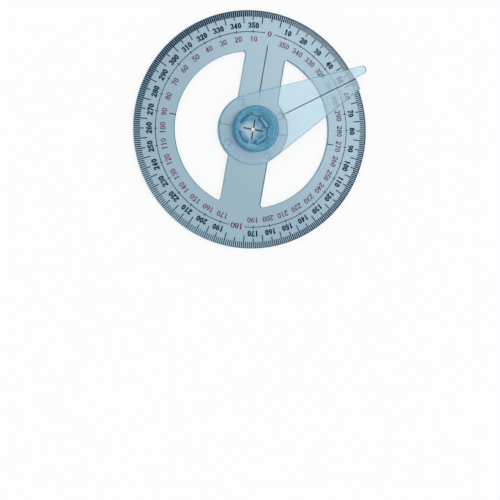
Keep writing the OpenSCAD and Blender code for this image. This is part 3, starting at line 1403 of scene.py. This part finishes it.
@dataclass
class PrintedScale:
    """The print on the disc and on the arm: the bars and lines of the frame, and the numbers."""

    ink_t: float = 0.03
    outer_row_r: float = 43.67
    inner_row_r: float = 38.0
    zero_row_r: float = 40.9
    outer_row_shift_deg: float = 0.18
    inner_row_shift_deg: float = 0.36
    number_step: int = 10
    black_digits: DigitStyle = DigitStyle("bold_digits", 2.57, 1.54, 0.62, 1.58, 0.55)
    red_digits: DigitStyle = DigitStyle("light_digits", 2.4, 1.45, 0.42, 1.6, 0.5)
    big_digits: DigitStyle = DigitStyle("large_digits", 2.5, 1.75, 0.52, 1.75, 0.5, has_foot=True)

    def rows(self) -> list[NumberRow]:
        """The rows of numbers.

        Returns:
            The outer row, the inner row, which counts the other way, and the two large numbers.
        """
        full, half = int(FULL_TURN), int(HALF_TURN)
        tens = [value for value in range(self.number_step, full, self.number_step) if value != half]
        return [
            NumberRow(
                "outer_numbers",
                self.black_digits,
                self.outer_row_r,
                PrintColour.BLACK,
                {value: value for value in tens},
                self.outer_row_shift_deg,
            ),
            NumberRow(
                "inner_numbers",
                self.red_digits,
                self.inner_row_r,
                PrintColour.RED,
                {value: full - value for value in tens},
                self.inner_row_shift_deg,
            ),
            NumberRow("zero_numbers", self.big_digits, self.zero_row_r, PrintColour.RED, {0: 0, half: half}),
        ]

    def build(self, disc_t: float, inks: dict[PrintColour, Material]) -> None:
        """Prints the numbers on the disc and inks the lines of the frame.

        Args:
            disc_t: height of the disc's top face in mm.
            inks: the material of each ink.
        """
        for row in self.rows():
            piece = row.build(disc_t, self.ink_t, inks[row.colour])
            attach(piece, DISC_BODY)
            log.info("%s: %d faces", piece.name, len(piece.data.polygons))
        ticks = DegreeTicks().build(disc_t, self.ink_t, inks[PrintColour.BLACK])
        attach(ticks, DISC_BODY)
        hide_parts("degree_ticks")
        log.info("%s: %d faces", ticks.name, len(ticks.data.polygons))
        for name, node in frame["nodes"].items():
            if name in ("protractor_disc", "swing_arm", "degree_ticks"):
                continue
            node.data.materials.clear()
            node.data.materials.append(inks[PrintColour.BLACK])


# The studio


@dataclass(frozen=True)
class SoftBox:
    """A round patch of light in the surroundings that fades towards its edge."""

    towards: Place
    inner_deg: float
    outer_deg: float
    strength: float

    def light(self, tree: NodeTree, direction: NodeSocket, rest: Source) -> Node:
        """Adds the patch to the light of the surroundings.

        Args:
            tree: the world's node tree.
            direction: the direction looked in.
            rest: strength of the light so far.

        Returns:
            The node that gives the strength of the light with the patch.
        """
        facing = add_node(
            tree,
            "ShaderNodeVectorMath",
            {1: Vector(self.towards).normalized()},
            {0: direction},
            operation="DOT_PRODUCT",
        )
        patch = add_node(
            tree,
            "ShaderNodeMapRange",
            {
                "From Min": math.cos(math.radians(self.outer_deg)),
                "From Max": math.cos(math.radians(self.inner_deg)),
                "To Min": 0.0,
                "To Max": self.strength,
            },
            {"Value": facing.outputs["Value"]},
            interpolation_type="SMOOTHSTEP",
        )
        return add_node(tree, "ShaderNodeMath", links={0: rest, 1: patch}, operation="ADD")


@dataclass
class Studio:
    """White table, even light with a soft box overhead, and the camera of the photograph."""

    floor_colour: str = "#FDFDFD"
    floor_glow_share: float = 0.8
    floor_size_mm: float = 6000.0
    floor_gap_mm: float = 0.06
    sky_strength: float = 0.895
    side_slope: float = -0.1
    side_direction: Place = (0.966, 0.259, 0.0)
    boxes: tuple[SoftBox, ...] = (
        SoftBox(towards=(0.3732, 0.2666, 0.8887), inner_deg=9.0, outer_deg=18.0, strength=1.9),
    )
    camera_mm: Place = (-70.84, -34.81, 338.82)
    aim_mm: Place = (3.033, -25.230, 2.0)
    camera_up: Place = (-0.17347, 0.98489, 0.0)
    lens_mm: float = 59.208
    sensor_mm: float = 36.0
    nearest_m: float = 0.01
    furthest_m: float = 20.0
    picture_px: float = 500.0
    lens_axis_row_px: float = 190.0

    def floor(self) -> None:
        """Lays a white table under the disc, which keeps a share of the disc's shadow."""
        half = self.floor_size_mm / 2 * MM
        z = -self.floor_gap_mm * MM
        mesh = bpy.data.meshes.new("table")
        corners = [(-half, -half, z), (half, -half, z), (half, half, z), (-half, half, z)]
        mesh.from_pydata(corners, [], [(0, 1, 2, 3)])
        table = add_object("table", mesh)
        paint, tree = new_material("white_table_paint")
        white = add_node(tree, "ShaderNodeBsdfDiffuse", {"Color": linear(self.floor_colour)})
        glow = add_node(tree, "ShaderNodeEmission", {"Color": linear(self.floor_colour)})
        ray = add_node(tree, "ShaderNodeLightPath").outputs
        seen: Source = ray["Is Camera Ray"]
        for kind in ("Is Glossy Ray", "Is Transmission Ray"):
            seen = add_node(tree, "ShaderNodeMath", links={0: seen, 1: ray[kind]}, operation="MAXIMUM")
        share = add_node(
            tree, "ShaderNodeMath", {1: self.floor_glow_share}, {0: seen}, operation="MULTIPLY"
        )
        lit = add_node(tree, "ShaderNodeMixShader", links={0: share, 1: white, 2: glow})
        add_node(tree, "ShaderNodeOutputMaterial", links={"Surface": lit})
        mesh.materials.append(paint)

    def light(self) -> None:
        """White surroundings, a little brighter on one side, plain white where the camera sees them."""
        world = bpy.data.worlds.new("white_room")
        bpy.context.scene.world = world
        world.use_nodes = True
        tree = world.node_tree
        tree.nodes.clear()
        direction = add_node(tree, "ShaderNodeTexCoord").outputs["Generated"]
        side = add_node(
            tree, "ShaderNodeVectorMath", {1: self.side_direction}, {0: direction}, operation="DOT_PRODUCT"
        )
        total = add_node(
            tree,
            "ShaderNodeMath",
            {1: self.side_slope, 2: self.sky_strength},
            {0: side.outputs["Value"]},
            operation="MULTIPLY_ADD",
        )
        for box in self.boxes:
            total = box.light(tree, direction, total)
        ray = add_node(tree, "ShaderNodeLightPath").outputs
        shown = add_node(
            tree, "ShaderNodeMath", links={0: total, 1: ray["Is Camera Ray"]}, operation="MAXIMUM"
        )
        white = (1.0, 1.0, 1.0, 1.0)
        sky = add_node(tree, "ShaderNodeBackground", {"Color": white}, {"Strength": shown})
        add_node(tree, "ShaderNodeOutputWorld", links={"Surface": sky})

    def camera(self) -> None:
        """Places the camera where the photograph was taken from."""
        data = bpy.data.cameras.new("photo_camera")
        data.sensor_width = self.sensor_mm
        data.lens = self.lens_mm
        data.shift_y = (self.lens_axis_row_px - self.picture_px / 2) / self.picture_px
        data.clip_start = self.nearest_m
        data.clip_end = self.furthest_m
        camera = add_object("photo_camera", data)
        place = Vector(self.camera_mm)
        back = (place - Vector(self.aim_mm)).normalized()
        right = Vector(self.camera_up).cross(back).normalized()
        matrix = Matrix((right, back.cross(right), back)).transposed().to_4x4()
        matrix.translation = place * MM
        camera.matrix_world = matrix
        bpy.context.scene.camera = camera

    def build(self) -> None:
        """Sets up table, light, camera and the plain colour rendering."""
        self.floor()
        self.light()
        self.camera()
        bpy.context.scene.view_settings.view_transform = "Standard"


def main() -> None:
    """Builds the protractor's looks round the frame, then the studio."""
    logging.basicConfig(level=logging.INFO, format="%(name)s: %(message)s")
    disc_plastic = ClearPlastic(
        "blue_tinted_polystyrene",
        tint="#00A4C2",
        density_per_m=479.0,
        milk_colour="#FFFFFF",
        edge_colour="#429FC4",
    ).material()
    arm_plastic = ClearPlastic(
        "milky_blue_polystyrene",
        tint="#00BCD4",
        density_per_m=215.0,
        milk_colour="#E0F1FA",
        edge_colour="#28AED0",
        roughness_low=0.03,
    ).material()
    inks = {colour: colour.value.material() for colour in PrintColour}

    disc = ProtractorDisc()
    disc_piece = disc.build(disc_plastic)
    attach(disc_piece, DISC_BODY)
    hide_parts("protractor_disc")

    arm_piece = PointerArm().build(arm_plastic)
    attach(arm_piece, ARM_BODY)
    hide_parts("swing_arm")

    PrintedScale().build(disc.disc_t, inks)
    Studio().build()


if __name__ == "__main__":
    main()
